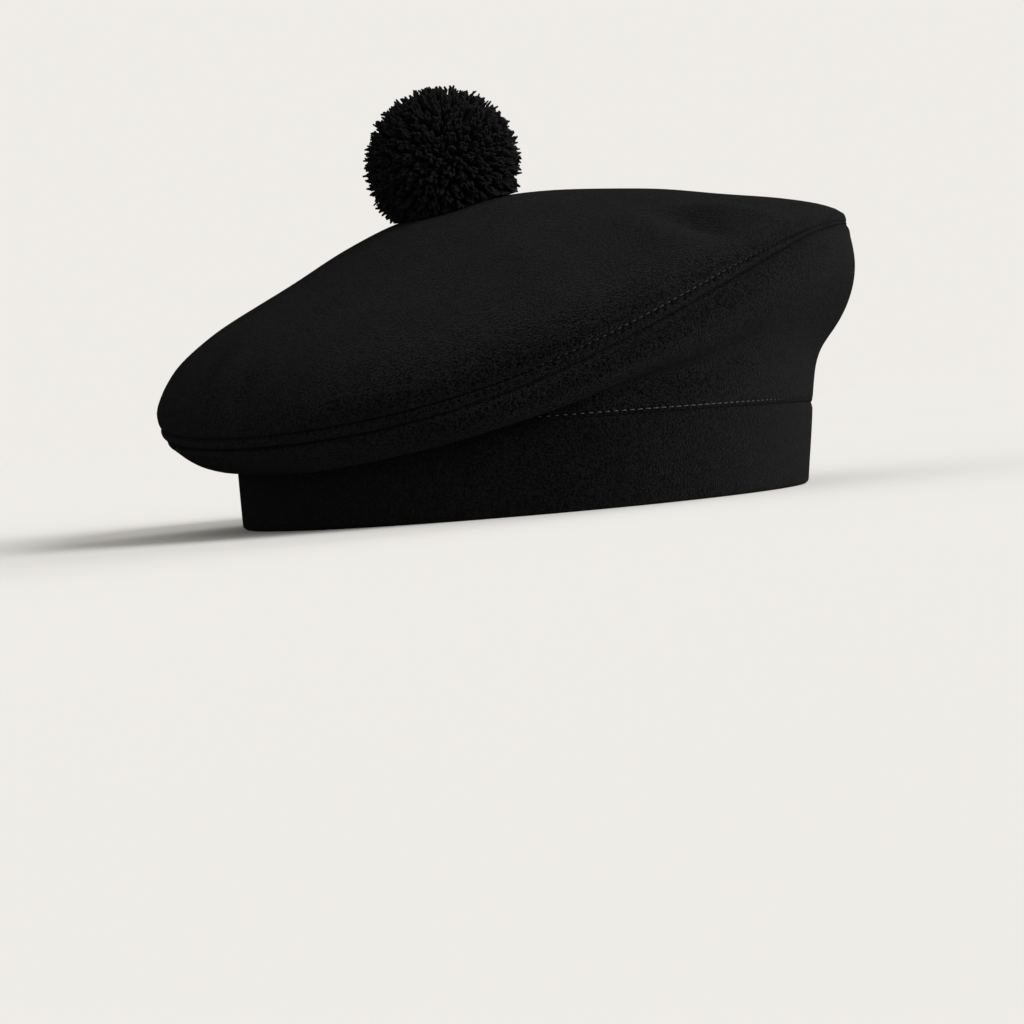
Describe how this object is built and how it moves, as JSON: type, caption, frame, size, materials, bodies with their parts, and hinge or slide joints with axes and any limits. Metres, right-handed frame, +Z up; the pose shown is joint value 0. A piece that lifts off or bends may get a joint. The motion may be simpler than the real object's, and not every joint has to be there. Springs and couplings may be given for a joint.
{
  "type": "tam o'shanter",
  "caption": "Round soft felt tam o'shanter, its crown higher at one side over a plain headband, with a yarn pompom on top.",
  "frame": {"origin": "middle of the bottom of the hat's box, level with the headband's bottom edge", "axes": "+Z up, front at -Y, the crown's high side towards +X"},
  "size_m": [0.212, 0.2262, 0.1284],
  "materials": {
    "band_felt": "black wool felt, matt, folded double",
    "under_felt": "black wool felt, matt",
    "top_felt": "black wool felt, matt",
    "yarn": "black wool yarn, cut ends"
  },
  "bodies": {
    "root": {"headband": "band_felt", "crown_under": "under_felt", "crown_top": "top_felt", "pompom": "yarn"}
  },
  "joints": []
}
